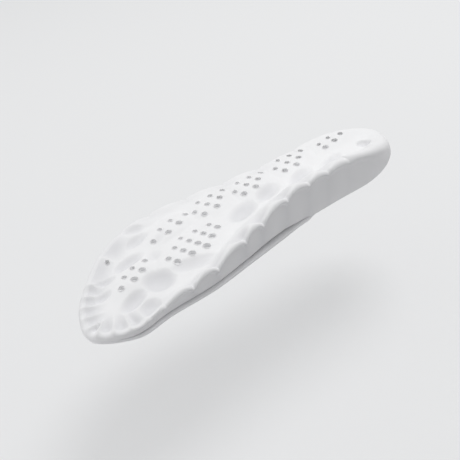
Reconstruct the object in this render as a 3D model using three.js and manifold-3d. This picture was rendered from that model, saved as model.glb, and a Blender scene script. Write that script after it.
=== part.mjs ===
// Right-foot cushioned insole: a moulded soft foam cushion bonded on a thin base layer.
// Millimetres. +X points to the toe, +Y to the arch (medial) side, +Z up, base underside at z = 0.
import * as THREE from 'three';
import { mergeVertices } from 'three/addons/utils/BufferGeometryUtils.js';
import Module from 'manifold-3d';

// Plan: how far the edge lies from the foot axis, on the medial and the lateral side.
const insoleLength = 260;
const heelMedial = 29.5;
const heelLateral = 27.5;
const waistMedial = 24.5;
const waistLateral = 38;
const ballMedial = 29;
const ballLateral = 48;
const toeOffset = 9.5;

// Thickness: the base, the bond line on it, and the cushion's sole along the foot.
const baseThickness = 1.8;
const bondGap = 0.3;
const heelSoleTop = 14;
const archSoleTop = 11;
const ballSoleTop = 9.5;
const toeSoleTop = 7;

// Rim: its height above the ground around the edge, its outward flare, its rolled crest, the
// width of its inner slope, and how far the wall's foot is tucked in.
const heelBackRim = 16.5;
const heelMedialRim = 29;
const archRim = 29;
const ballMedialRim = 15;
const heelLateralRim = 15.5;
const waistLateralRim = 13;
const ballLateralRim = 13;
const toeRim = 6;
const sideFlare = 2.4;
const endFlare = 0.3;
const rimRoll = 5;
const rollDrop = 1;
const heelSlope = 15;
const archSlope = 26;
const foreSlope = 10;
const heelTuck = 3;
const foreTuck = 1;

// Lobes of the rim: how far the grooves between them drop, how far they cut into the wall,
// and how far inwards they run.
const archLobeDrop = 5.5;
const lateralLobeDrop = 3;
const toeLobeDrop = 1;
const lobeSet = 1.5;
const grooveReach = 12;

// How far the base's edge lies inside the outline: hardly at the forefoot, more under the heel.
const baseInsetFore = 0.8;
const baseInsetHeel = 7.5;

// Pads: low domes with a staggered field of ventilation holes.
const padRise = 2.2;
const padMargin = 6;
const padCrown = 0.3;
const holeColumnPitch = 9.6;
const holeRowPitch = 6.8;
const ballPadHole = 5.2;
const padHole = 3.8;
const smallestHole = 2.6;
const holeDepth = 3;
const holeFloor = 1.2;
const heelRecess = { x: -0.815, y: 0.25, length: 9, width: 9, depth: 2 };

const half = insoleLength / 2;
const cushionBottom = baseThickness + bondGap;
const lengthSteps = 60;
const widthSteps = 14;
const wallSteps = 3;
const lengthCrowding = 0.3;
const widthCrowding = 0.5;
const outlineSteps = 240;
const baseSteps = 80;
const holeSides = 10;
const drillAbove = 2;

// Rim grooves on each side, as shares of the half length from the middle.
const medialGrooves = [0.88, 0.79, 0.71, 0.56, 0.41, 0.26, 0.12, -0.06, -0.21, -0.34, -0.48, -0.62];
const lateralGrooves = [0.82, 0.67, 0.5, 0.31, 0.1, -0.11, -0.33, -0.57];

// Each pad: its place (x as a share of the half length, y as a share of the width on that side
// of the foot axis), its turn in degrees, its widest hole and the holes in each column.
const pads = [
  { x: 0.34, y: -0.02, turn: 10, hole: ballPadHole, columns: [2, 3, 4, 3, 2] },
  { x: 0.66, y: -0.16, turn: 20, hole: padHole, columns: [1, 2, 2, 1] },
  { x: 0.32, y: -0.53, turn: 12, hole: padHole, columns: [1, 2, 2, 1] },
  { x: 0.05, y: -0.63, turn: 15, hole: padHole, columns: [1, 2, 3, 2] },
  { x: -0.19, y: -0.62, turn: 14, hole: padHole, columns: [1, 2, 3, 2] },
  { x: -0.48, y: -0.71, turn: 12, hole: padHole, columns: [1, 2, 3, 2] },
  { x: -0.78, y: -0.74, turn: -4, hole: padHole, columns: [1, 2, 2] },
];

// Value at x of a smooth curve through stations [share of the half length, value].
function along(stations, x) {
  const s = THREE.MathUtils.clamp(x / half, -1, 1);
  const next = Math.max(1, stations.findIndex(([at]) => at >= s));
  const [from, low] = stations[next - 1];
  const [to, high] = stations[next];
  return THREE.MathUtils.lerp(low, high, THREE.MathUtils.smoothstep(s, from, to));
}

// The edge of the sole, from the back of the heel round the medial side, the toe and back.
function makeOutline() {
  const medial = [
    [-0.975, 0.35 * heelMedial],
    [-0.86, 0.78 * heelMedial],
    [-0.68, heelMedial],
    [-0.42, 0.45 * heelMedial + 0.55 * waistMedial],
    [-0.12, waistMedial],
    [0.19, 0.5 * waistMedial + 0.5 * ballMedial],
    [0.45, ballMedial],
    [0.68, 0.93 * ballMedial],
    [0.86, toeOffset + 0.46 * (ballMedial + toeOffset)],
    [0.965, toeOffset + 0.22 * (ballMedial + toeOffset)],
  ];
  const lateral = [
    [0.93, toeOffset - 0.32 * (ballLateral + toeOffset)],
    [0.79, toeOffset - 0.59 * (ballLateral + toeOffset)],
    [0.57, -0.86 * ballLateral],
    [0.35, -ballLateral],
    [0.15, -0.75 * ballLateral - 0.25 * waistLateral],
    [-0.12, -waistLateral],
    [-0.46, -0.8 * heelLateral - 0.2 * waistLateral],
    [-0.7, -heelLateral],
    [-0.86, -0.8 * heelLateral],
    [-0.975, -0.38 * heelLateral],
  ];
  const points = [[-1, 0], ...medial, [1, toeOffset], ...lateral];
  return new THREE.CatmullRomCurve3(
    points.map(([share, y]) => new THREE.Vector3(share * half, y, 0)),
    true,
    'centripetal',
  );
}

const outline = makeOutline();
outline.arcLengthDivisions = outlineSteps;
const edge = outline.getSpacedPoints(outlineSteps);
edge.pop();

// Outward normal of the outline at a place given as a share of its length.
function outwardAt(share) {
  const tangent = outline.getTangentAt(share);
  return new THREE.Vector3(-tangent.y, tangent.x, 0);
}

// Share of the outline that is nearest to a point of the plan, and the distance to it.
function nearestEdge(x, y) {
  let best = 0;
  let bestSquared = Infinity;
  edge.forEach((point, index) => {
    const squared = (point.x - x) ** 2 + (point.y - y) ** 2;
    if (squared < bestSquared) {
      bestSquared = squared;
      best = index;
    }
  });
  return { point: edge[best], distance: Math.sqrt(bestSquared) };
}

const onMedialSide = (point) => point.y > (toeOffset * (point.x + half)) / insoleLength;

// Middle of a pad or recess, whose y is a share of the sole's width on its own side at x.
function featureCentre({ x, y }) {
  const side = edge.filter((point) => onMedialSide(point) === y > 0);
  const distance = (point) => Math.abs(point.x - x * half);
  const level = side.reduce((best, point) => (distance(point) < distance(best) ? point : best));
  return new THREE.Vector2(x * half, y * Math.abs(level.y));
}

const padDomes = pads.map((pad) => ({
  centre: featureCentre(pad),
  long: (pad.columns.length * holeColumnPitch) / 2 + padMargin,
  wide: (Math.max(...pad.columns) * holeRowPitch) / 2 + padMargin,
}));
const recessCentre = featureCentre(heelRecess);

// 0 in a groove of the rim, 1 on the crest of the round lobe between two grooves.
function lobe(point) {
  const grooves = onMedialSide(point) ? medialGrooves : lateralGrooves;
  const share = point.x / half;
  const next = grooves.findIndex((groove) => groove <= share);
  if (next < 1) return 1;
  const middle = (grooves[next - 1] + grooves[next]) / 2;
  const reach = (grooves[next - 1] - grooves[next]) / 2;
  return Math.sqrt(Math.max(0, 1 - ((share - middle) / reach) ** 2));
}

function rimHeight(point) {
  const [heel, waist, ball] = onMedialSide(point)
    ? [heelMedialRim, archRim, ballMedialRim]
    : [heelLateralRim, waistLateralRim, ballLateralRim];
  return along([[-1, heelBackRim], [-0.6, heel], [-0.15, waist], [0.5, ball], [1, toeRim]], point.x);
}

function grooveDrop(point) {
  const middle = onMedialSide(point) ? archLobeDrop : lateralLobeDrop;
  const heel = [[-1, 0], [-0.6, 0.15 * middle]];
  const drop = along([...heel, [0, middle], [0.55, middle], [1, toeLobeDrop]], point.x);
  return drop * (1 - lobe(point));
}

// Width of the slope from the rim down to the sole: wide on the arch, narrow elsewhere.
function slopeWidth(point) {
  const middle = onMedialSide(point) ? archSlope : foreSlope;
  return along([[-1, heelSlope], [-0.15, middle], [0.5, foreSlope], [1, foreSlope]], point.x);
}

function soleTop(x) {
  const heel = [[-1, heelSoleTop], [-0.8, heelSoleTop], [-0.6, archSoleTop]];
  const toe = [[0.85, toeSoleTop], [1, toeSoleTop]];
  return along([...heel, [-0.1, archSoleTop], [0.4, ballSoleTop], ...toe], x);
}

// Distance from a centre, counted in an ellipse's half axes.
function ellipseDistance(x, y, centre, long, wide) {
  return Math.hypot((x - centre.x) / long, (y - centre.y) / wide);
}

function padHeight(x, y) {
  return Math.max(...padDomes.map(({ centre, long, wide }) => {
    const away = ellipseDistance(x, y, centre, long, wide);
    return padRise * (1 - THREE.MathUtils.smoothstep(away, padCrown, 1));
  }));
}

function recessDepth(x, y) {
  const away = ellipseDistance(x, y, recessCentre, heelRecess.length / 2, heelRecess.width / 2);
  return heelRecess.depth * (1 - THREE.MathUtils.smoothstep(away, 0.6, 1.4));
}

// Height of the cushion's upper surface. The pads stand on the sole and run into the rim's slope.
function topHeight(x, y) {
  const { point, distance } = nearestEdge(x, y);
  const rise = 1 - THREE.MathUtils.smoothstep(distance, rimRoll, slopeWidth(point));
  const roll = rollDrop * Math.max(0, 1 - distance / rimRoll) ** 2;
  const groove = grooveDrop(point) * (1 - THREE.MathUtils.smoothstep(distance, 0, grooveReach));
  const sole = soleTop(x);
  const raised = Math.max((rimHeight(point) - sole) * rise, padHeight(x, y));
  return sole + raised - roll - groove - recessDepth(x, y);
}

// Corners of the grid on the outline, as shares of its length: heel and toe, on both sides.
const corners = { heelMedial: 0.06, toeMedial: 0.44, toeLateral: 0.55, heelLateral: 0.94 };

// Share of the outline for a point on the border of the grid, u and v from -1 to 1.
function borderShare(u, v) {
  const mix = THREE.MathUtils.lerp;
  if (v === 1) return mix(corners.heelMedial, corners.toeMedial, (u + 1) / 2);
  if (v === -1) return mix(corners.heelLateral, corners.toeLateral, (u + 1) / 2);
  if (u === 1) return mix(corners.toeLateral, corners.toeMedial, (v + 1) / 2);
  return (mix(corners.heelLateral, 1 + corners.heelMedial, (v + 1) / 2)) % 1;
}

// Plan position of a grid point: the four sides of the outline blended across the middle.
function planPoint(u, v, offset) {
  const at = (a, b) => {
    const share = borderShare(a, b);
    return outline.getPointAt(share).addScaledVector(outwardAt(share), offset(outline.getPointAt(share)));
  };
  const across = at(u, -1).multiplyScalar((1 - v) / 2).addScaledVector(at(u, 1), (1 + v) / 2);
  const lengthwise = at(-1, v).multiplyScalar((1 - u) / 2).addScaledVector(at(1, v), (1 + u) / 2);
  const twist = new THREE.Vector3();
  for (const a of [-1, 1]) {
    for (const b of [-1, 1]) {
      twist.addScaledVector(at(a, b), ((1 + a * u) * (1 + b * v)) / 4);
    }
  }
  return across.add(lengthwise).sub(twist);
}

// How far the wall stands outside the outline at a height w, 0 at its foot and 1 at the rim.
function wallOffset(point, w) {
  const tuck = along([[-1, heelTuck], [-0.1, heelTuck], [0.4, foreTuck], [1, foreTuck]], point.x);
  const full = along([[-1, endFlare], [-0.73, sideFlare], [0.5, sideFlare], [1, endFlare]], point.x);
  const flare = full - lobeSet * (1 - lobe(point));
  return flare * w - tuck * (1 - w) ** 3;
}

// Draws the grid's lines towards its border, where the surface turns most.
function crowd(s, share) {
  return Math.abs(s) === 1 ? s : (1 - share) * s + share * Math.sin((s * Math.PI) / 2);
}

// The cushion without its holes: a box whose faces become the top, the wall and the underside.
function makeCushionSolid() {
  const geometry = new THREE.BoxGeometry(2, 2, 1, lengthSteps, widthSteps, wallSteps);
  const position = geometry.getAttribute('position');
  for (let i = 0; i < position.count; i += 1) {
    const u = crowd(position.getX(i), lengthCrowding);
    const v = crowd(position.getY(i), widthCrowding);
    const w = position.getZ(i) + 0.5;
    const place = planPoint(u, v, (point) => wallOffset(point, w));
    const full = topHeight(place.x, place.y);
    position.setXYZ(i, place.x, place.y, THREE.MathUtils.lerp(cushionBottom, full, w));
  }
  return geometry;
}

const wasm = await Module();
wasm.setup();

function toManifold(geometry) {
  geometry.deleteAttribute('normal');
  geometry.deleteAttribute('uv');
  const merged = mergeVertices(geometry, 1e-4);
  return new wasm.Manifold(new wasm.Mesh({
    numProp: 3,
    vertProperties: new Float32Array(merged.getAttribute('position').array),
    triVerts: new Uint32Array(merged.index.array),
  }));
}

function toGeometry(manifold) {
  const mesh = manifold.getMesh();
  const geometry = new THREE.BufferGeometry();
  geometry.setAttribute('position', new THREE.BufferAttribute(mesh.vertProperties, 3));
  geometry.setIndex(new THREE.BufferAttribute(mesh.triVerts, 1));
  geometry.computeVertexNormals();
  return geometry;
}

// Holes of one pad, as { x, y, radius }: columns along the foot, each centred on the pad, the
// holes wider towards the medial side.
function padHoles(pad) {
  const centre = featureCentre(pad);
  const turn = THREE.MathUtils.degToRad(pad.turn);
  const widest = Math.max(...pad.columns);
  return pad.columns.flatMap((count, column) => Array.from({ length: count }, (unused, row) => {
    const lengthwise = (column - (pad.columns.length - 1) / 2) * holeColumnPitch;
    const across = (row - (count - 1) / 2) * holeRowPitch;
    const share = 0.5 + across / ((widest - 1) * holeRowPitch);
    const place = new THREE.Vector2(lengthwise, across).rotateAround(new THREE.Vector2(), turn).add(centre);
    return { x: place.x, y: place.y, radius: THREE.MathUtils.lerp(smallestHole, pad.hole, share) / 2 };
  }));
}

function holeTool({ x, y, radius }) {
  const top = topHeight(x, y);
  const bottom = Math.max(top - holeDepth, cushionBottom + holeFloor);
  const geometry = new THREE.CylinderGeometry(radius, radius, top + drillAbove - bottom, holeSides);
  geometry.rotateX(Math.PI / 2);
  geometry.translate(x, y, (top + drillAbove + bottom) / 2);
  return toManifold(geometry);
}

function makeCushion() {
  let solid = toManifold(makeCushionSolid());
  for (const hole of pads.flatMap(padHoles)) {
    solid = solid.subtract(holeTool(hole));
  }
  return toGeometry(solid);
}

// The base layer: a flat sheet whose edge runs inside the outline.
function makeBase() {
  const insets = [[-1, baseInsetHeel], [-0.4, baseInsetHeel], [-0.15, baseInsetFore], [1, baseInsetFore]];
  const shape = new THREE.Shape();
  for (let i = 0; i < baseSteps; i += 1) {
    const share = i / baseSteps;
    const point = outline.getPointAt(share);
    point.addScaledVector(outwardAt(share), -along(insets, point.x));
    if (i === 0) shape.moveTo(point.x, point.y);
    else shape.lineTo(point.x, point.y);
  }
  shape.closePath();
  return new THREE.ExtrudeGeometry(shape, { depth: baseThickness, bevelEnabled: false });
}

const insole = new THREE.Group();

const cushionFoam = new THREE.MeshStandardMaterial({ color: 0xf7f7f8, roughness: 0.75, metalness: 0 });
const cushion = new THREE.Mesh(makeCushion(), cushionFoam);
cushion.name = 'cushion_body';
insole.add(cushion);

const baseFoam = new THREE.MeshStandardMaterial({ color: 0xe9e9ec, roughness: 0.85, metalness: 0 });
const base = new THREE.Mesh(makeBase(), baseFoam);
base.name = 'base_layer';
insole.add(base);

// The origin is under the middle of the insole's box.
const middle = new THREE.Box3().setFromObject(insole).getCenter(new THREE.Vector3());
insole.position.set(-middle.x, -middle.y, 0);

export default insole;
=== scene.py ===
import math

import bmesh
import bpy
import numpy as np
from mathutils import Matrix, Vector, kdtree


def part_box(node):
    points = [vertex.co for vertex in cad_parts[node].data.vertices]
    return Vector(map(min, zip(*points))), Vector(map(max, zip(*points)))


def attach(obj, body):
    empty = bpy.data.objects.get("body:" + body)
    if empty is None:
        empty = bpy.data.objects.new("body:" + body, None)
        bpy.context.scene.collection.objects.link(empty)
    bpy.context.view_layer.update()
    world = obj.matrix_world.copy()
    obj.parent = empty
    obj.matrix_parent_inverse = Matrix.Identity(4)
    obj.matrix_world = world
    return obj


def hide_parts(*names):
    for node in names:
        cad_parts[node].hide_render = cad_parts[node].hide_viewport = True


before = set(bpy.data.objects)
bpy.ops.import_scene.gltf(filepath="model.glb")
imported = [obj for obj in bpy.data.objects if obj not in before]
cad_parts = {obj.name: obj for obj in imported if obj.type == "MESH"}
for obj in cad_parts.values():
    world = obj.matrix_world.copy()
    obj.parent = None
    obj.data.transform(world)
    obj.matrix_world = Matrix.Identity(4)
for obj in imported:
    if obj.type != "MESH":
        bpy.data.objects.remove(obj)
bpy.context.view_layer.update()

# Lengths here are millimetres on the foot axis: +x to the toe, +y to the arch, +z up.
# They become metres, centred as the frame is, when a mesh is written.
millimetre = 0.001

outlineShape = {
    "halfLength": 130,
    "heelMedial": 29.5, "heelLateral": 27.5,
    "waistMedial": 24.5, "waistLateral": 38,
    "ballMedial": 29, "ballLateral": 48,
    "toeOffset": 9.5,
    "samples": 5200,
}

cushion = {
    "underside": 2.1,             # flat underside of the foam, just above the base
    # foot of the wall: a crevice over the base at the waist, a skirt round it from there to the heel
    "footLevel": [[-1, 0.3], [-0.24, 0.3], [-0.16, 1.8], [-0.03, 3.8], [0.06, 3.8], [0.26, 2.5],
                  [0.45, 2.2], [0.85, 2.1], [1, 2]],
    "footReach": [[-1, 2], [-0.26, 2], [-0.14, 3.5], [1, 3.5]],
    # rings under the foot: share of footReach to go inwards, share of the way up to the underside
    "footRings": [(0.8, 0), (0.2, 0.12), (0.15, 1), (1.5, 1)],
    "gridLengthwise": 400, "gridAcross": 124,
    "lengthCrowding": 0.3, "acrossCrowding": 0.5,
    # the grid's four corners as shares of the way round the outline
    "gridCorners": {"heelMedial": 0.06, "toeMedial": 0.44, "toeLateral": 0.55, "heelLateral": 0.94},
    "soleTop": [[-1, 16], [-0.8, 14.4], [-0.6, 11.6], [-0.1, 11], [0.4, 9.8], [0.7, 8.8], [0.88, 7.2],
                [1, 6.6]],
    # round the rim: [share of the half length, value]; all but the tuck and the foot are eased
    "medialRim": [[-1, 16.6], [-0.96, 17], [-0.87, 19.8], [-0.74, 24], [-0.62, 26], [-0.5, 29],
                  [-0.06, 28.8], [0.12, 23.8], [0.25, 21.4], [0.41, 17.4], [0.56, 14.2], [0.69, 10.6],
                  [0.8, 8.8], [0.9, 7.4], [1, 6.8]],
    "lateralRim": [[-1, 16.6], [-0.8, 15.8], [-0.6, 14], [-0.1, 13.2], [0.3, 13.4], [0.55, 13.6],
                   [0.75, 11.6], [0.88, 8.8], [1, 6.8]],
    "medialDrop": [[-1, 0], [-0.6, 0], [-0.48, 1.8], [-0.3, 3.2], [-0.15, 4.6], [0, 6.2], [0.5, 6.2],
                   [0.6, 4.4], [0.72, 1.8], [0.86, 0.8], [0.94, 0], [1, 0]],
    "lateralDrop": [[-1, 0], [-0.6, 1], [-0.3, 2.4], [0.3, 2.6], [0.5, 1.6], [0.7, 0.4], [0.85, 0],
                    [1, 0]],
    "medialSlope": [[-1, 16], [-0.85, 18], [-0.7, 23], [-0.2, 27], [0.1, 24], [0.5, 10], [1, 7]],
    "lateralSlope": [[-1, 16], [-0.5, 13], [0, 11], [0.5, 15], [0.8, 13], [1, 9]],
    "medialReach": [[-1, 8], [-0.5, 10], [-0.15, 16], [0.3, 14], [0.55, 9], [1, 7]],
    "lateralReach": [[-1, 8], [-0.3, 11], [0.5, 9], [1, 7]],
    "medialRound": [[-1, 6.5], [-0.8, 6], [-0.62, 3.8], [0, 2.7], [0.6, 2.4], [0.8, 1.5], [0.88, 2.2],
                    [0.95, 4], [1, 4.4]],
    "lateralRound": [[-1, 6.5], [-0.8, 5], [-0.6, 2.6], [0.5, 3.2], [0.75, 4.4], [1, 4.4]],
    "easeLength": 14,
    "medialGrooves": [-0.48, -0.34, -0.21, -0.06, 0.12, 0.24, 0.425, 0.56, 0.71, 0.79, 0.88],
    "lateralGrooves": [0.82, 0.67, 0.5, 0.31, 0.1, -0.11, -0.33, -0.57],
    "toeGrooves": 6,
    "medialFlare": [[-1, -1.6], [-0.9, 0.2], [-0.73, 2.2], [0.5, 2.2], [0.85, 0.8], [1, 0.2]],
    "lateralFlare": [[-1, -1.6], [-0.9, 0.2], [-0.73, 2.2], [0.4, 2.2], [0.7, 3.6], [0.9, 1.8], [1, 0.2]],
    "bulge": [[-1, 2], [-0.85, 1.3], [-0.6, 0.4], [0.5, 0.2], [1, 0]],
    "undercut": [[-1, 0], [-0.7, 0.2], [-0.4, 1.2], [-0.1, 2.5], [0.6, 2.3], [0.8, 1], [0.9, 0], [1, 0]],
    "grooveSet": 0.1,                     # how far a groove is cut into the wall
    "grooveSoftness": 15, "lobeFade": 90,  # counted in samples of the outline
    "lobePower": 0.52,
    # from the crisp grooves of the rim to soft valleys inside it: distances from the edge
    "valleyStart": 0.5, "valleyFull": 6, "valleyShare": 0.9, "grooveFade": 2,
    "tuck": [[-1, 2.4], [-0.8, 1.8], [-0.4, 1], [0, 0.8], [0.8, 0.6], [1, 0]],
    "wallRings": 22,
    "rimBend": 4, "undercutOnset": 2.6,   # lengths down the wall
    "footRound": [[-1, 3.2], [-0.7, 2.6], [-0.3, 1], [0, 0.6], [1, 0.5]],
}

# Pads: middle, turn in degrees, rise, half axes, widest hole, pitch of the hole columns and rows,
# and holes per column.
pads = {
    "ball": {"at": (44.5, -1.4), "turn": 10, "rise": 2.4, "axes": (31, 19), "hole": 4.7,
        "pitch": (9.7, 6.3), "columns": [2, 3, 4, 3, 2]},
    "toe": {"at": (85.3, -6.7), "turn": 21, "rise": 2.3, "axes": (21, 11), "hole": 4.2,
        "pitch": (8.8, 6.4), "columns": [1, 2, 2, 1]},
    "ballSide": {"at": (41.6, -25.8), "turn": 12, "rise": 3, "axes": (22, 13), "hole": 4.2,
        "pitch": (10.7, 6.5), "columns": [1, 2, 2, 1]},
    "midFoot": {"at": (5.9, -26.7), "turn": 16, "rise": 2.5, "axes": (21, 17), "hole": 4.2,
        "pitch": (9.6, 7.0), "columns": [1, 2, 3, 2]},
    "waist": {"at": (-24.7, -22), "turn": 14, "rise": 3.1, "axes": (20, 17), "hole": 4.2,
        "pitch": (9.2, 6.9), "columns": [1, 2, 3, 2]},
    "heelFront": {"at": (-62.5, -20.5), "turn": 12, "rise": 2.5, "axes": (22, 16), "hole": 4.2,
        "pitch": (9.3, 7.2), "columns": [1, 2, 3, 2]},
    "heelSide": {"at": (-98.6, -14.6), "turn": -4, "rise": 1.6, "axes": (20, 12), "hole": 4.2,
        "pitch": (9.2, 6.2), "columns": [1, 2, 2]},
}
padShape = {"crown": 0.42, "foot": 1.22, "blend": 2}
holeField = {
    "smallest": 2.8, "depthShare": 0.4, "floor": 3.3,
    "lip": 0.3,                       # width of the raised lip round the bore
    # rings inwards over the lip: distance outside the bore's radius, rise over the surface
    "lipRings": [(0.24, 0.18), (0.15, 0.36), (0.04, 0.16), (0, -0.12), (-0.03, -0.5)],
    # rings down the bore and in over its floor: share of the way left, distance inside the radius
    "boreRings": [(0.5, 0.05), (0.9, 0.05), (1, 0.3), (1, 0.6)],
    "upward": 0.2,                    # least upward part of the normal of a face that is cut
    "smoothings": 4,
    "single": (86.3, -29.3, 1.2),     # a lone vent: x, y, radius
}

# Hollows between the pads, and the heel's recess last: x, y, length, width, turn in degrees,
# depth, and a power that is low for a steep edge.
hollowSpread = 1.15
hollows = [
    (79.5, 8.5, 19, 17, 20, 3.4, 1.1),
    (99, 10.5, 20, 10, 14, 2.8, 1.2),
    (97.5, 22, 14, 10, 25, 2.6, 1.2),
    (79, -19.5, 22, 9.5, 8, 2.7, 1.2),
    (62, -33, 20, 8, 10, 1.9, 1.2),
    (96, -27, 13, 6.5, -20, 1.6, 1.2),
    (77, -37, 13, 7, -18, 1.6, 1.2),
    (57, -42, 14, 7, -10, 1.3, 1.2),
    (108, -7.5, 13, 7.5, -10, 2.2, 1.2),
    (98.5, -16.5, 13, 7, -15, 2.0, 1.2),
    (66, -12, 12, 9, 30, 1.2, 1.6),
    (52, -22, 16, 7, 20, 1.0, 1.6),
    (2, -3, 27, 13, 14, 3.0, 1.3),
    (-23, -5.5, 24, 11, 12, 2.4, 1.3),
    (-51, -2.5, 24, 10, 8, 2.1, 1.3),
    (-79, 1, 20, 9, 6, 1.8, 1.3),
    (57.5, 13.5, 30, 10, -24, 1.7, 1.0),
    (-105.8, 7.5, 8, 9, 0, 2.3, 0.5),
]

# Flutes that fan out round the toe: distances from the edge at which they start, are deepest and
# end, their depth, and the shares of the half length over which they set in on each side.
toeFlutes = {
    "start": -3, "peak": 5.5, "end": 17, "depth": 2.3,
    "medialOnset": (0.78, 0.84), "lateralOnset": (0.42, 0.6),
}

# How hollow a point is, from 0 to 1, for the material's painted shade that darkens hollows, grooves
# and bores: depths that count as fully hollow, the weights of each kind, and how far in from the edge the
# rim's weight holds.
paintedShadeMark = {
    "hollowFull": 2, "grooveFull": 4, "boreFull": 4, "boreFrom": 0.12,
    "inside": 0.6, "bore": 0.3, "rim": 0.3, "rimWidth": 4,
}


def smoothStep(value, low, high):
    t = np.clip((value - low) / (high - low), 0, 1)
    return t * t * (3 - 2 * t)


def along(stations, share):
    # value at a share of the half length, on a smooth curve through the stations
    at, value = np.array(stations, float).T
    k = np.clip(np.searchsorted(at, share), 1, len(at) - 1)
    return value[k - 1] + (value[k] - value[k - 1]) * smoothStep(share, at[k - 1], at[k])


def eased(stations, share, length):
    # straight between the stations, then averaged along the edge
    at, value = np.array(stations, float).T
    line = np.interp(share, at, value)
    reach = int(cushion["easeLength"] / length * len(line) / 2)
    run = np.cumsum(np.concatenate([line[-reach:], line, line[:reach + 1]]))
    return (run[2 * reach + 1:] - run[:-2 * reach - 1])[:len(line)] / (2 * reach + 1)


def outlineControls():
    o = outlineShape
    toe, hm, hl, wm = o["toeOffset"], o["heelMedial"], o["heelLateral"], o["waistMedial"]
    wl, bm, bl = o["waistLateral"], o["ballMedial"], o["ballLateral"]
    medial = [
        (-0.975, 0.35 * hm), (-0.86, 0.78 * hm), (-0.68, hm), (-0.42, 0.45 * hm + 0.55 * wm),
        (-0.12, wm), (0.19, 0.5 * wm + 0.5 * bm), (0.45, bm), (0.68, 0.93 * bm),
        (0.86, toe + 0.46 * (bm + toe)), (0.965, toe + 0.22 * (bm + toe)),
    ]
    lateral = [
        (0.93, toe - 0.32 * (bl + toe)), (0.79, toe - 0.59 * (bl + toe)), (0.57, -0.86 * bl),
        (0.35, -bl), (0.15, -0.75 * bl - 0.25 * wl), (-0.12, -wl),
        (-0.46, -0.8 * hl - 0.2 * wl), (-0.7, -hl), (-0.86, -0.8 * hl), (-0.975, -0.38 * hl),
    ]
    points = np.array([(-1, 0), *medial, (1, toe), *lateral], float)
    return points * (o["halfLength"], 1)


def roundCurve(points, steps):
    # closed centripetal curve through the points
    p0, p1, p2, p3 = (np.roll(points, k, axis=0) for k in (1, 0, -1, -2))
    gap = [np.sqrt(np.linalg.norm(b - a, axis=1))[:, None] for a, b in ((p0, p1), (p1, p2), (p2, p3))]
    leave = ((p1 - p0) / gap[0] - (p2 - p0) / (gap[0] + gap[1]) + (p2 - p1) / gap[1]) * gap[1]
    arrive = ((p2 - p1) / gap[1] - (p3 - p1) / (gap[1] + gap[2]) + (p3 - p2) / gap[2]) * gap[1]
    t = (np.arange(steps) / steps)[None, :, None]
    a, b, m, n = (q[:, None, :] for q in (p1, p2, leave, arrive))
    curve = a + m * t + (3 * b - 3 * a - 2 * m - n) * t**2 + (2 * a - 2 * b + m + n) * t**3
    return curve.reshape(-1, 2)


def evenSteps(curve, count):
    closed = np.vstack([curve, curve[:1]])
    run = np.concatenate([[0], np.cumsum(np.linalg.norm(np.diff(closed, axis=0), axis=1))])
    at = np.arange(count) / count * run[-1]
    return np.stack([np.interp(at, run, closed[:, k]) for k in (0, 1)], axis=1), run[-1]


def readOutline():
    # everything that changes round the edge, sampled evenly along it
    half, toe = outlineShape["halfLength"], outlineShape["toeOffset"]
    point, length = evenSteps(roundCurve(outlineControls(), 200), outlineShape["samples"])
    tangent = np.roll(point, -1, axis=0) - np.roll(point, 1, axis=0)
    tangent /= np.linalg.norm(tangent, axis=1)[:, None]
    normal = np.stack([-tangent[:, 1], tangent[:, 0]], axis=1)
    share = point[:, 0] / half
    medial = point[:, 1] > toe * (point[:, 0] + half) / (2 * half)
    ease = lambda name: eased(cushion[name], share, length)
    pick = lambda name: np.where(medial, ease("medial" + name), ease("lateral" + name))
    edge = {
        "point": point, "normal": normal, "share": share, "medial": medial, "length": length,
        "rim": pick("Rim"), "drop": pick("Drop"), "slope": pick("Slope"), "reach": pick("Reach"),
        "round": pick("Round"), "flare": pick("Flare"), "bulge": ease("bulge"),
        "undercut": ease("undercut"), "tuck": along(cushion["tuck"], share),
        "foot": along(cushion["footLevel"], share), "footReach": along(cushion["footReach"], share),
        "footRound": along(cushion["footRound"], share),
    }
    edge["lobe"] = lobesRound(edge)
    grooved = (1 - edge["lobe"]) * smoothStep(edge["drop"], 0, 2)
    edge["flare"] -= cushion["grooveSet"] * grooved
    edge["border"] = point + normal * edge["flare"][:, None]
    edge["tree"] = treeOf(edge["border"])
    return edge


def treeOf(points):
    tree = kdtree.KDTree(len(points))
    for k, (x, y) in enumerate(points):
        tree.insert((x, y, 0), k)
    tree.balance()
    return tree


def lobesRound(edge):
    # 0 in a groove of the rim, 1 on the crest of the round lobe between two grooves
    share, medial = edge["share"], edge["medial"]
    count = len(share)
    place = lambda mark, side: np.where(medial == side, np.abs(share - mark), 9).argmin()
    grooves = [place(mark, True) for mark in cushion["medialGrooves"]]
    lateral = [place(mark, False) for mark in cushion["lateralGrooves"]]
    toe = np.linspace(grooves[-1], lateral[0], cushion["toeGrooves"] + 2)[1:-1]
    grooves = np.array([*grooves, *toe, *lateral], float)
    k = np.arange(count)
    after = np.clip(np.searchsorted(grooves, k), 1, len(grooves) - 1)
    low, high = grooves[after - 1], grooves[after]
    across = np.clip((2 * k - low - high) / (high - low), -1, 1)
    edge["across"] = across
    # round lobes, their meeting lines softened a little
    run = np.ones(cushion["grooveSoftness"])
    lobe = np.convolve((1 - across**2) ** cushion["lobePower"], run / len(run), mode="same")
    plain = (k < grooves[0]) | (k > grooves[-1])
    edge["lobed"] = np.where(plain, 0, 1)
    beyond = np.minimum(np.abs(k - grooves[0]), np.abs(k - grooves[-1]))
    ease = np.clip(beyond / cushion["lobeFade"], 0, 1)
    return np.where(plain, ease * (2 - ease), lobe)


def turned(x, y, middle, degrees):
    c, s = math.cos(math.radians(degrees)), math.sin(math.radians(degrees))
    dx, dy = x - middle[0], y - middle[1]
    return dx * c + dy * s, dy * c - dx * s


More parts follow.
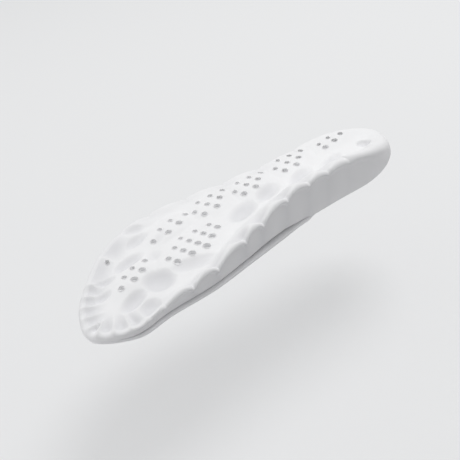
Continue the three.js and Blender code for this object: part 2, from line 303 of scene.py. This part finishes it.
def hollowDepth(x, y):
    depth = np.zeros_like(x)
    for hx, hy, length, width, turn, deep, crisp in hollows:
        a, b = turned(x, y, (hx, hy), turn)
        away = np.hypot(a / (length / 2), b / (width / 2)) / hollowSpread
        depth = np.maximum(depth, deep * np.clip(1 - away**2, 0, 1) ** crisp)
    return depth


def softMax(a, b, width):
    h = np.clip(0.5 + 0.5 * (a - b) / width, 0, 1)
    return b + (a - b) * h + width * h * (1 - h)


def padHeight(x, y):
    height = np.zeros_like(x)
    for pad in pads.values():
        a, b = turned(x, y, pad["at"], pad["turn"])
        away = np.hypot(a / pad["axes"][0], b / pad["axes"][1])
        fall = smoothStep(away, padShape["crown"], padShape["foot"])
        height = np.maximum(height, pad["rise"] * (1 - fall))
    return height


def nearestEdge(edge, x, y):
    index, away = np.empty(len(x), int), np.empty(len(x))
    for k in range(len(x)):
        _, index[k], away[k] = edge["tree"].find((x[k], y[k], 0))
    return index, away


def topHeight(edge, x, y):
    # upper surface of the foam, and how hollow it is there, which the material turns into painted shade
    index, away = nearestEdge(edge, x, y)
    share = x / outlineShape["halfLength"]
    sole = along(cushion["soleTop"], share)
    rimRound = edge["round"][index]
    rise = 1 - smoothStep(away, rimRound, edge["slope"][index])
    crisp = 1 - edge["lobe"][index]
    soft = np.sin(edge["across"][index] * math.pi / 2) ** 2 * edge["lobed"][index]
    inward = smoothStep(away, cushion["valleyStart"], cushion["valleyFull"])
    groove = edge["drop"][index] * (crisp * (1 - inward) + cushion["valleyShare"] * soft * inward)
    groove = groove * (1 - smoothStep(away, cushion["grooveFade"], edge["reach"][index]))
    roll = rimRound - np.sqrt(rimRound**2 - np.clip(rimRound - away, 0, None) ** 2)
    hollow = np.maximum(hollowDepth(x, y), fluteDepth(edge, index, away, share))
    raised = softMax((edge["rim"][index] - sole) * rise, padHeight(x, y), padShape["blend"])
    height = sole + raised - groove - roll - hollow
    # painted shade: hollows and grooves count towards a darker colour in the material
    m = paintedShadeMark
    return height, np.clip(hollow / m["hollowFull"] + groove / m["grooveFull"], 0, 1)


def fluteDepth(edge, index, away, share):
    f = toeFlutes
    medial, lateral = smoothStep(share, *f["medialOnset"]), smoothStep(share, *f["lateralOnset"])
    where = np.where(edge["medial"][index], medial, lateral)
    body = smoothStep(away, f["start"], f["peak"]) * (1 - smoothStep(away, f["peak"], f["end"]))
    return f["depth"] * where * body * (1 - edge["across"][index] ** 2)


def crowd(s, share):
    # draws the grid's lines towards its border, where the surface turns most
    return (1 - share) * s + share * np.sin(s * math.pi / 2)


def planGrid(edge, u, v):
    # the four sides of the border blended across the middle
    ring = np.vstack([edge["border"], edge["border"][:1]])
    count = len(edge["border"])
    corner = cushion["gridCorners"]
    heelMedial, toeMedial = corner["heelMedial"], corner["toeMedial"]
    heelLateral, toeLateral = corner["heelLateral"], corner["toeLateral"]

    def mix(a, b, t):
        return a + (b - a) * (t + 1) / 2

    def at(share):
        place = (share % 1) * count
        return np.stack([np.interp(place, np.arange(count + 1), ring[:, k]) for k in (0, 1)], axis=1)

    medial, lateral = at(mix(heelMedial, toeMedial, u)), at(mix(heelLateral, toeLateral, u))
    toe, heel = at(mix(toeLateral, toeMedial, v)), at(mix(heelLateral, 1 + heelMedial, v))
    u, v = u[:, None], v[:, None]
    ends = {(1, 1): toeMedial, (1, -1): toeLateral, (-1, 1): heelMedial, (-1, -1): heelLateral}
    twist = sum(at(np.array([s])) * (1 + a * u) * (1 + b * v) / 4 for (a, b), s in ends.items())
    sides = lateral * (1 - v) / 2 + medial * (1 + v) / 2 + heel * (1 - u) / 2 + toe * (1 + u) / 2
    return sides - twist


def padHoles():
    # every hole of every pad: x, y, radius
    found, smallest = [], holeField["smallest"]
    for pad in pads.values():
        widest, spacing = max(pad["columns"]), pad["pitch"]
        c, s = math.cos(math.radians(pad["turn"])), math.sin(math.radians(pad["turn"]))
        for column, count in enumerate(pad["columns"]):
            lengthwise = (column - (len(pad["columns"]) - 1) / 2) * spacing[0]
            for row in range(count):
                across = (row - (count - 1) / 2) * spacing[1]
                share = 0.5 + across / ((widest - 1) * spacing[1])
                x = pad["at"][0] + lengthwise * c - across * s
                y = pad["at"][1] + lengthwise * s + across * c
                found.append((x, y, (smallest + (pad["hole"] - smallest) * share) / 2))
    return np.array([*found, holeField["single"]])


def coordinates(mesh):
    co = np.empty(len(mesh.vertices) * 3)
    mesh.vertices.foreach_get("co", co)
    return co.reshape(-1, 3)


def setCoordinates(mesh, co):
    mesh.vertices.foreach_set("co", co.astype(np.float32).ravel())
    mesh.update()


def extrudeRing(bm, edges):
    made = bmesh.ops.extrude_edge_only(bm, edges=edges)["geom"]
    verts = [g for g in made if isinstance(g, bmesh.types.BMVert)]
    ring = [g for g in made if isinstance(g, bmesh.types.BMEdge) and g.is_boundary]
    return verts, ring


def openBorder(bm):
    # the edges with one face, and their vertices
    ring = [e for e in bm.edges if e.is_boundary]
    return ring, {v for e in ring for v in e.verts}


def wallReach(edge, k, w):
    # how far the wall stands outside the outline at a share of its full height
    return edge["flare"][k] * w - edge["tuck"][k] * (1 - w) ** 3 + edge["bulge"][k] * 4 * w * (1 - w)


def wallOffset(edge, k, top, z):
    # the same at a height, where the wall starts below its full height and is cut in under the rim
    foot = edge["foot"][k]
    height = max(top, edge["rim"][k] - edge["round"][k]) - foot
    share, atTop = (z - foot) / height, wallReach(edge, k, (top - foot) / height)
    out = wallReach(edge, k, share)
    out += (edge["flare"][k] - atTop) * (1 - min(1.0, (top - z) / cushion["rimBend"])) ** 2
    below = min(1.0, (top - z) / cushion["undercutOnset"])
    out -= edge["undercut"][k] * below * below * (3 - 2 * below) * share
    turn = edge["footRound"][k]
    low = max(0.0, turn - (z - foot))
    return out - (turn - math.sqrt(max(0.0, turn**2 - low**2)))


def addWall(bm, edge):
    # the wall goes down from the border of the grid in rings, then turns in to the underside
    mark = bm.verts.layers.int["mark"]
    ring, border = openBorder(bm)
    start = {v[mark]: v.co.z for v in border}
    steps = cushion["wallRings"]
    for step in range(1, steps + 1):
        w = 1 - step / steps                      # 1 at the rim, 0 at the foot
        verts, ring = extrudeRing(bm, ring)
        for v in verts:
            k = v[mark]
            top, foot = start[k], edge["foot"][k]
            z = foot + (top - foot) * w
            x, y = edge["point"][k] + edge["normal"][k] * wallOffset(edge, k, top, z)
            v.co = (x, y, z)
    for inset, level in cushion["footRings"]:
        verts, ring = extrudeRing(bm, ring)
        for v in verts:
            k = v[mark]
            foot = edge["foot"][k]
            x, y = v.co.xy - Vector(edge["normal"][k]) * (inset * edge["footReach"][k])
            v.co = (x, y, foot + (cushion["underside"] - foot) * level)
    bmesh.ops.contextual_create(bm, geom=ring)


def addHoles(bm, edge):
    # each hole: faces cut out, its border set on a circle, a soft lip, a bore and a floor
    holes = padHoles()
    ring, owner = cutHoles(bm, holes)
    wider = around(owner, owner)
    wider |= around(wider, owner)
    placeRing(edge, owner, holes, holeField["lip"], 0)
    relax(bm, edge, list(wider))
    for out, rise in holeField["lipRings"]:
        owner, ring = nextRing(bm, ring, holes)
        placeRing(edge, owner, holes, out, rise)
    floorAt = []
    for x, y, radius in holes:
        top = topHeight(edge, np.array([x]), np.array([y]))[0][0]
        floorAt.append(max(top - 2 * radius * holeField["depthShare"], holeField["floor"]))
    for share, inset in holeField["boreRings"]:
        owner, ring = nextRing(bm, ring, holes)
        for v, k in owner.items():
            setOnCircle(v, holes[k], -inset)
            v.co.z += (floorAt[k] - v.co.z) * share
    loops = {}
    for e in ring:
        loops.setdefault(owner[e.verts[0]], []).append(e)
    for edges in loops.values():
        bmesh.ops.contextual_create(bm, geom=edges)


def cutHoles(bm, holes):
    # the open border that is left, and which hole each of its vertices belongs to
    centres = np.array([f.calc_center_median()[:] for f in bm.faces])
    upward = np.array([f.normal.z > holeField["upward"] for f in bm.faces])
    cut = set()
    for x, y, radius in holes:
        inside = np.hypot(centres[:, 0] - x, centres[:, 1] - y) < radius + holeField["lip"]
        cut.update(np.nonzero(inside & upward)[0])
    bm.faces.ensure_lookup_table()
    bmesh.ops.delete(bm, geom=[bm.faces[k] for k in cut], context="FACES")
    ring, border = openBorder(bm)
    return ring, nearestHole(border, holes)


def nearestHole(verts, holes):
    tree = treeOf(holes[:, :2])
    return {v: tree.find((v.co.x, v.co.y, 0))[1] for v in verts}


def around(verts, taken):
    # vertices one edge away that aren't taken
    return {e.other_vert(v) for v in verts for e in v.link_edges} - set(taken)


def relax(bm, edge, verts):
    for _ in range(holeField["smoothings"]):
        bmesh.ops.smooth_vert(bm, verts=verts, factor=0.5, use_axis_x=True, use_axis_y=True)
    settle(edge, verts)


def nextRing(bm, ring, holes):
    verts, ring = extrudeRing(bm, ring)
    return nearestHole(verts, holes), ring


def setOnCircle(v, hole, out):
    # moves a vertex straight in or out, to stand that far outside the hole's radius
    x, y, radius = hole
    toward = Vector((v.co.x - x, v.co.y - y)).normalized()
    v.co.xy = Vector((x, y)) + toward * (radius + out)


def placeRing(edge, owner, holes, out, rise):
    for v, k in owner.items():
        setOnCircle(v, holes[k], out)
    settle(edge, list(owner), rise)


def settle(edge, verts, rise=0):
    # sets the vertices back on the upper surface
    flat = np.array([v.co[:2] for v in verts])
    height, _ = topHeight(edge, flat[:, 0], flat[:, 1])
    for v, z in zip(verts, height):
        v.co.z = z + rise


def frameShift(edge):
    # from the foot axis to the middle of the frame's box
    low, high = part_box("base_layer")
    middle = (edge["point"].min(0) + edge["point"].max(0)) / 2
    return np.array([0, (low.y + high.y) / 2 / millimetre - middle[1]])


def finishedMesh(bm, name, shift):
    bmesh.ops.recalc_face_normals(bm, faces=bm.faces[:])
    for face in bm.faces:
        face.smooth = True
    bmesh.ops.translate(bm, verts=bm.verts[:], vec=(shift[0], shift[1], 0))
    bmesh.ops.scale(bm, verts=bm.verts[:], vec=(millimetre,) * 3)
    mesh = bpy.data.meshes.new(name)
    bm.to_mesh(mesh)
    bm.free()
    piece = bpy.data.objects.new(name, mesh)
    bpy.context.scene.collection.objects.link(piece)
    return piece


def makeCushion(edge, shift):
    bm = bmesh.new()
    lengthSteps, acrossSteps = cushion["gridLengthwise"], cushion["gridAcross"]
    bmesh.ops.create_grid(bm, x_segments=lengthSteps, y_segments=acrossSteps, size=1)
    mesh = bpy.data.meshes.new("cushionGrid")
    bm.to_mesh(mesh)
    co = coordinates(mesh)
    lengthwise = crowd(co[:, 0], cushion["lengthCrowding"])
    across = crowd(co[:, 1], cushion["acrossCrowding"])
    plan = planGrid(edge, lengthwise, across)
    height, _ = topHeight(edge, plan[:, 0], plan[:, 1])
    setCoordinates(mesh, np.column_stack([plan, height]))
    bm.clear()
    bm.from_mesh(mesh)
    bpy.data.meshes.remove(mesh)
    mark = bm.verts.layers.int.new("mark")
    for v in openBorder(bm)[1]:
        v[mark] = edge["tree"].find((v.co.x, v.co.y, 0))[1]
    print("cushion: grid shaped,", len(bm.verts), "vertices")
    addWall(bm, edge)
    print("cushion: wall made")
    addHoles(bm, edge)
    bmesh.ops.triangulate(bm, faces=[f for f in bm.faces if len(f.verts) > 4])
    print("cushion: holes made,", len(bm.faces), "faces")
    piece = finishedMesh(bm, "cushion_foam_top", shift)
    markPaintedShade(piece, edge, shift)
    return piece


def markPaintedShade(piece, edge, shift):
    # how hollow each point is, kept on the mesh for the material to darken as painted shade in hollows,
    # grooves and bores
    m = paintedShadeMark
    co = coordinates(piece.data) / millimetre - np.array([shift[0], shift[1], 0])
    height, hollow = topHeight(edge, co[:, 0], co[:, 1])
    # painted shade in the bores, darker the deeper a point lies below the surface
    depth = np.clip((height - co[:, 2]) / m["boreFull"], 0, 1)
    bore = np.where(depth > m["boreFrom"], depth * m["bore"], 0)
    away = np.array([edge["tree"].find((x, y, 0))[2] for x, y in co[:, :2]])
    inside = np.maximum(hollow * m["inside"], bore)
    value = np.where(away > m["rimWidth"], inside, hollow * m["rim"])
    attribute = piece.data.attributes.new("hollow", "FLOAT", "POINT")
    attribute.data.foreach_set("value", value.astype(np.float32))


# The base sheet: its thickness, how far its edge lies inside the outline, and the edge's rounding.
base = {
    "thickness": 1.8,
    "inset": [[-1, 7.5], [-0.4, 7.5], [-0.17, -0.4], [0, -1.5], [0.8, -0.9], [0.93, 0.6], [1, 1]],
    "steps": 480,
    "edgeRound": 0.35, "roundSteps": 3,
}


def makeBase(edge, shift):
    bm = bmesh.new()
    bmesh.ops.create_circle(bm, cap_ends=True, segments=base["steps"], radius=1)
    inset = along(base["inset"], edge["share"])
    rim = edge["point"] - edge["normal"] * inset[:, None]
    bm.verts.ensure_lookup_table()
    for k, v in enumerate(bm.verts):
        x, y = rim[int(k * len(rim) / base["steps"])]
        v.co = (x, y, 0)
    made = bmesh.ops.extrude_face_region(bm, geom=bm.faces[:])["geom"]
    top = [g for g in made if isinstance(g, bmesh.types.BMVert)]
    bmesh.ops.translate(bm, verts=top, vec=(0, 0, base["thickness"]))
    bmesh.ops.recalc_face_normals(bm, faces=bm.faces[:])
    corners = [e for e in bm.edges if len(e.link_faces) == 2 and e.calc_face_angle() > 1]
    bmesh.ops.bevel(bm, geom=corners, offset=base["edgeRound"], offset_type="OFFSET",
                    segments=base["roundSteps"], profile=0.5, affect="EDGES", material=-1,
                    clamp_overlap=True)
    bmesh.ops.triangulate(bm, faces=[f for f in bm.faces if len(f.verts) > 4])
    return finishedMesh(bm, "base_sheet", shift)


def addNode(tree, kind, **values):
    node = tree.nodes.new(kind)
    for name, value in values.items():
        if hasattr(node, name):
            setattr(node, name, value)
        else:
            node.inputs[name.replace("_", " ")].default_value = value
    return node


def foamGrainGroup():
    # fine pores and a slow mottle, read from object coordinates
    group = bpy.data.node_groups.new("foamGrain", "ShaderNodeTree")
    face = group.interface
    for name, start in (("Pore Scale", 1500), ("Mottle Scale", 60), ("Pore Depth", 0.5)):
        face.new_socket(name, in_out="INPUT", socket_type="NodeSocketFloat").default_value = start
    for name in ("Height", "Mottle", "Pores"):
        face.new_socket(name, in_out="OUTPUT", socket_type="NodeSocketFloat")
    inside, outside = group.nodes.new("NodeGroupInput"), group.nodes.new("NodeGroupOutput")
    place = addNode(group, "ShaderNodeTexCoord")
    pores = addNode(group, "ShaderNodeTexVoronoi", feature="F1")
    fine = addNode(group, "ShaderNodeTexNoise", Detail=3.0, Roughness=0.6)
    slow = addNode(group, "ShaderNodeTexNoise", Detail=2.0, Roughness=0.5)
    for texture in (pores, fine, slow):
        group.links.new(place.outputs["Object"], texture.inputs["Vector"])
    group.links.new(inside.outputs["Pore Scale"], pores.inputs["Scale"])
    group.links.new(inside.outputs["Pore Scale"], fine.inputs["Scale"])
    group.links.new(inside.outputs["Mottle Scale"], slow.inputs["Scale"])
    pit = addNode(group, "ShaderNodeMapRange", From_Min=0.0, From_Max=0.45)
    group.links.new(pores.outputs["Distance"], pit.inputs["Value"])
    scaled = addNode(group, "ShaderNodeMath", operation="MULTIPLY")
    group.links.new(pit.outputs["Result"], scaled.inputs[0])
    group.links.new(inside.outputs["Pore Depth"], scaled.inputs[1])
    total = addNode(group, "ShaderNodeMath", operation="ADD")
    group.links.new(scaled.outputs[0], total.inputs[0])
    group.links.new(fine.outputs["Fac"], total.inputs[1])
    group.links.new(total.outputs[0], outside.inputs["Height"])
    group.links.new(slow.outputs["Fac"], outside.inputs["Mottle"])
    group.links.new(pit.outputs["Result"], outside.inputs["Pores"])
    return group


def foamMaterial(name, grain, look):
    material = bpy.data.materials.new(name)
    material.use_nodes = True
    tree = material.node_tree
    tree.nodes.clear()
    shader = addNode(tree, "ShaderNodeBsdfPrincipled")
    out = addNode(tree, "ShaderNodeOutputMaterial")
    tree.links.new(shader.outputs[0], out.inputs["Surface"])
    shader.inputs["Specular IOR Level"].default_value = look["specular"]
    shader.inputs["Sheen Weight"].default_value = look["sheen"]
    shader.inputs["Sheen Roughness"].default_value = 0.5
    foam = addNode(tree, "ShaderNodeGroup")
    foam.node_tree = grain
    for socket in ("Pore Scale", "Mottle Scale", "Pore Depth"):
        foam.inputs[socket].default_value = look[socket]
    tone = addNode(tree, "ShaderNodeValToRGB")
    for stop, place, colour in zip(tone.color_ramp.elements, (0.3, 0.7), ("dark", "light")):
        stop.position = place
        stop.color = (*look[colour], 1)
    tree.links.new(foam.outputs["Mottle"], tone.inputs["Fac"])
    # painted shade: the base colour is mixed towards the deep colour where the hollow mark is high, in
    # hollows, grooves and bores
    hollow = addNode(tree, "ShaderNodeAttribute", attribute_name="hollow")
    deep = addNode(tree, "ShaderNodeMix", data_type="RGBA", blend_type="MIX")
    share, plain, paintedShadeColour = deep.inputs[0], deep.inputs[6], deep.inputs[7]    # the colour sockets
    paintedShadeColour.default_value = (*look["deep"], 1)
    tree.links.new(hollow.outputs["Fac"], share)
    tree.links.new(tone.outputs["Color"], plain)
    tree.links.new(deep.outputs[2], shader.inputs["Base Color"])
    middle, spread = look["roughness"], look["roughnessSpread"]
    rough = addNode(tree, "ShaderNodeMapRange", To_Min=middle - spread, To_Max=middle + spread)
    tree.links.new(foam.outputs["Pores"], rough.inputs["Value"])
    tree.links.new(rough.outputs["Result"], shader.inputs["Roughness"])
    bump = addNode(tree, "ShaderNodeBump", Strength=look["bump"], Distance=0.0001)
    tree.links.new(foam.outputs["Height"], bump.inputs["Height"])
    tree.links.new(bump.outputs["Normal"], shader.inputs["Normal"])
    return material


# deep is a painted shade colour, mixed in by the hollow mark in hollows, grooves and bores
cushionLook = {
    "light": (0.885, 0.885, 0.89), "dark": (0.855, 0.855, 0.86), "deep": (0.68, 0.68, 0.70),
    "roughness": 0.62, "roughnessSpread": 0.06, "specular": 0.3, "sheen": 0.08, "bump": 0.25,
    "Pore Scale": 1400.0, "Mottle Scale": 45.0, "Pore Depth": 0.5,
}
baseLook = {
    "light": (0.90, 0.90, 0.91), "dark": (0.85, 0.85, 0.86), "deep": (0.7, 0.7, 0.72),
    "roughness": 0.8, "roughnessSpread": 0.06, "specular": 0.25, "sheen": 0.1, "bump": 0.5,
    "Pore Scale": 900.0, "Mottle Scale": 60.0, "Pore Depth": 0.9,
}

# Studio: metres and watts.
studio = {
    "floorDrop": 0.08, "floorSize": 8, "floorColour": (0.33, 0.332, 0.335),
    "floorGlow": 0.47, "floorGlowColour": (0.99, 0.995, 1.0), "bounceColour": (0.7, 0.7, 0.71),
    "worldColour": (0.985, 0.99, 1.0), "skyLow": 0.28, "skyHigh": 0.8, "skyPower": 2,
    "backdropColour": (0.76, 0.765, 0.77),
    "key": {"power": 16, "size": 1.0, "reach": 1.8, "up": 1.0, "back": 0.1, "right": 0.15},
    "fill": {"power": 3.4, "size": 0.7, "reach": 1.2, "up": -0.1, "back": 0.4, "right": -1},
}

# Camera: degrees, metres, and the lens in millimetres; aimRight and aimUp are slopes off the axis.
camera = {"azimuth": 136.9, "elevation": 31.1, "roll": -6.6, "distance": 0.4678, "lens": 59.6,
          "aimRight": -0.02705, "aimUp": -0.0038}


def cameraAxes():
    azimuth, elevation = math.radians(camera["azimuth"]), math.radians(camera["elevation"])
    level = math.cos(elevation)
    back = Vector((math.sin(azimuth) * level, -math.cos(azimuth) * level, math.sin(elevation)))
    right = (-back).cross(Vector((0, 0, 1))).normalized()
    up = right.cross(-back)
    c, s = math.cos(math.radians(camera["roll"])), math.sin(math.radians(camera["roll"]))
    return right * c + up * s, up * c - right * s, back


def makeCamera(target):
    right, up, back = cameraAxes()
    look = (-back + right * camera["aimRight"] + up * camera["aimUp"]).normalized()
    side = (right - look * right.dot(look)).normalized()
    top = side.cross(look)
    data = bpy.data.cameras.new("camera")
    data.lens, data.sensor_width = camera["lens"], 36
    data.clip_start, data.clip_end = 0.01, 100
    item = bpy.data.objects.new("camera", data)
    bpy.context.scene.collection.objects.link(item)
    turn = Matrix((side, top, -look)).transposed().to_4x4()
    item.matrix_world = Matrix.Translation(target + back * camera["distance"]) @ turn
    bpy.context.scene.camera = item


def areaLight(name, look, target):
    right, up, back = cameraAxes()
    away = (up * look["up"] + back * look["back"] + right * look["right"]).normalized()
    data = bpy.data.lights.new(name, "AREA")
    data.energy, data.size, data.shape = look["power"], look["size"], "DISK"
    item = bpy.data.objects.new(name, data)
    bpy.context.scene.collection.objects.link(item)
    item.location = target + away * look["reach"]
    item.rotation_mode = "QUATERNION"
    item.rotation_quaternion = (-away).to_track_quat("-Z", "Y")


def forCamera(tree, plain, seen, out):
    # the second shader is what the camera sees, and the first is what lights the scene
    ray = addNode(tree, "ShaderNodeLightPath")
    pick = addNode(tree, "ShaderNodeMixShader")
    tree.links.new(ray.outputs["Is Camera Ray"], pick.inputs[0])
    tree.links.new(plain.outputs[0], pick.inputs[1])
    tree.links.new(seen.outputs[0], pick.inputs[2])
    tree.links.new(pick.outputs[0], out.inputs["Surface"])


def makeFloor():
    bm = bmesh.new()
    bmesh.ops.create_grid(bm, x_segments=1, y_segments=1, size=studio["floorSize"] / 2)
    bmesh.ops.translate(bm, verts=bm.verts[:], vec=(0, 0, -studio["floorDrop"]))
    mesh = bpy.data.meshes.new("floor")
    bm.to_mesh(mesh)
    bm.free()
    floor = bpy.data.objects.new("floor", mesh)
    bpy.context.scene.collection.objects.link(floor)
    material = bpy.data.materials.new("paleFloor")
    material.use_nodes = True
    tree = material.node_tree
    shader = tree.nodes["Principled BSDF"]
    shader.inputs["Base Color"].default_value = (*studio["floorColour"], 1)
    shader.inputs["Roughness"].default_value = 0.9
    shader.inputs["Specular IOR Level"].default_value = 0.1
    shader.inputs["Emission Color"].default_value = (*studio["floorGlowColour"], 1)
    shader.inputs["Emission Strength"].default_value = studio["floorGlow"]
    bounce = addNode(tree, "ShaderNodeBsdfDiffuse", Color=(*studio["bounceColour"], 1))
    forCamera(tree, bounce, shader, tree.nodes["Material Output"])
    mesh.materials.append(material)


def makeWorld():
    # the room's light comes mostly from overhead; the backdrop itself looks evenly pale
    world = bpy.data.worlds.new("softRoom")
    world.use_nodes = True
    tree = world.node_tree
    sky = tree.nodes["Background"]
    sky.inputs["Color"].default_value = (*studio["worldColour"], 1)
    place = addNode(tree, "ShaderNodeTexCoord")
    split = addNode(tree, "ShaderNodeSeparateXYZ")
    height = addNode(tree, "ShaderNodeMath", operation="POWER", use_clamp=True)
    height.inputs[1].default_value = studio["skyPower"]
    level = addNode(tree, "ShaderNodeMapRange", To_Min=studio["skyLow"], To_Max=studio["skyHigh"])
    tree.links.new(place.outputs["Generated"], split.inputs[0])
    tree.links.new(split.outputs["Z"], height.inputs[0])
    tree.links.new(height.outputs[0], level.inputs["Value"])
    tree.links.new(level.outputs["Result"], sky.inputs["Strength"])
    backdrop = addNode(tree, "ShaderNodeBackground", Color=(*studio["backdropColour"], 1))
    forCamera(tree, sky, backdrop, tree.nodes["World Output"])
    bpy.context.scene.world = world


def makeStudio(target):
    makeFloor()
    makeWorld()
    areaLight("keyLight", studio["key"], target)
    areaLight("fillLight", studio["fill"], target)
    bpy.context.scene.view_settings.view_transform = "Standard"


edge = readOutline()
shift = frameShift(edge)
target = Vector((shift[0], shift[1], 0)) * millimetre
print("outline read, length", round(edge["length"], 1), "mm, shift", shift.round(2))

makeCamera(target)
makeStudio(target)
print("studio made")

grain = foamGrainGroup()
cushionPiece = makeCushion(edge, shift)
cushionPiece.data.materials.append(foamMaterial("whiteFoam", grain, cushionLook))
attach(cushionPiece, "root")
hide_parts("cushion_body")
print("cushion made")

basePiece = makeBase(edge, shift)
basePiece.data.materials.append(foamMaterial("baseFoam", grain, baseLook))
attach(basePiece, "root")
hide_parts("base_layer")
print("base made")
